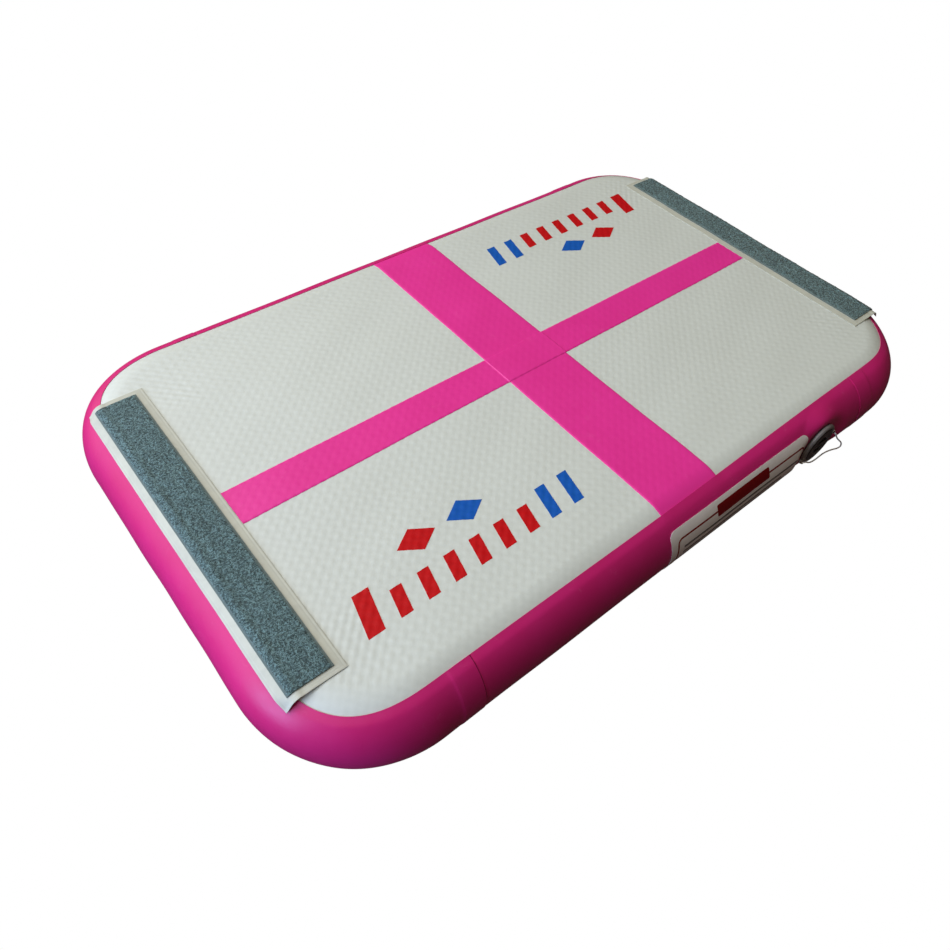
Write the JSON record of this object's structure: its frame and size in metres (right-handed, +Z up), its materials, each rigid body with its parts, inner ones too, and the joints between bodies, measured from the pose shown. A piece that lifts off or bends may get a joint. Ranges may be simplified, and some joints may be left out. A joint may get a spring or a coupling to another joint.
{
  "type": "air track mat",
  "caption": "Short inflatable tumbling mat of drop-stitch fabric with bonded side bands, taped top, loop strips at both ends and a screw-cap air valve.",
  "frame": {"origin": "on the floor, under the middle of the mat", "axes": "+X along the mat towards the end next to the valve, +Z up, the valve and label side faces -Y"},
  "size_m": [1, 0.6102, 0.1038],
  "materials": {
    "grey_sheet": "satin coated fabric",
    "raw_cloth": "woven polyester",
    "pink_band": "satin coated fabric",
    "cream_backing": "smooth coated patch",
    "slate_loop": "fuzzy loops",
    "white_label": "satin film",
    "grey_plastic": "moulded",
    "black_plastic": "moulded",
    "black_rubber": "matt",
    "spring_steel": "drawn wire",
    "white_cord": "twisted fibre"
  },
  "bodies": {
    "board": {"top_sheet": "grey_sheet", "bottom_sheet": "grey_sheet", "drop_stitch_core": "raw_cloth", "inner_side_band": "pink_band", "near_side_band": "pink_band", "far_side_band": "pink_band", "left_end_band": "pink_band", "right_end_band": "pink_band", "cross_tape": "pink_band", "length_tape": "pink_band", "left_loop_backing": "cream_backing", "right_loop_backing": "cream_backing", "left_loop_strip": "slate_loop", "right_loop_strip": "slate_loop", "label_patch": "white_label", "valve_body": "grey_plastic", "valve_gasket": "black_rubber", "valve_doubler": "pink_band", "valve_nut": "grey_plastic", "valve_spring": "spring_steel"},
    "cap_carrier": {"cap_seal": "black_rubber", "tether_ring": "black_plastic", "cap_tether": "white_cord"},
    "cap": {"valve_cap": "black_plastic"},
    "diaphragm": {"valve_diaphragm": "black_rubber"},
    "plunger": {"valve_stem": "black_plastic", "stem_clip": "black_plastic"}
  },
  "joints": [
    {"name": "cap_lift", "type": "slide", "parent": "board", "child": "cap_carrier", "axis": [0, -1, 0], "range_m": [0, 0.0121]},
    {"name": "cap_turn", "type": "hinge", "parent": "cap_carrier", "child": "cap", "pos_m": [0.233, -0.2985, 0.052], "axis": [0, -1, 0], "range_deg": [0, 720]},
    {"name": "plunger_press", "type": "slide", "parent": "board", "child": "diaphragm", "axis": [0, 1, 0], "range_m": [0, 0.005], "stiffness_N_per_m": 800, "springref_m": -0.004, "deforming": ["valve_spring"]},
    {"name": "plunger_turn", "type": "hinge", "parent": "diaphragm", "child": "plunger", "pos_m": [0.233, -0.2985, 0.052], "axis": [0, 1, 0], "range_deg": [0, 90]}
  ],
  "couplings": [
    {"joint": "cap_lift", "follows": "cap_turn", "m_per_rad": 0.00095493}
  ]
}
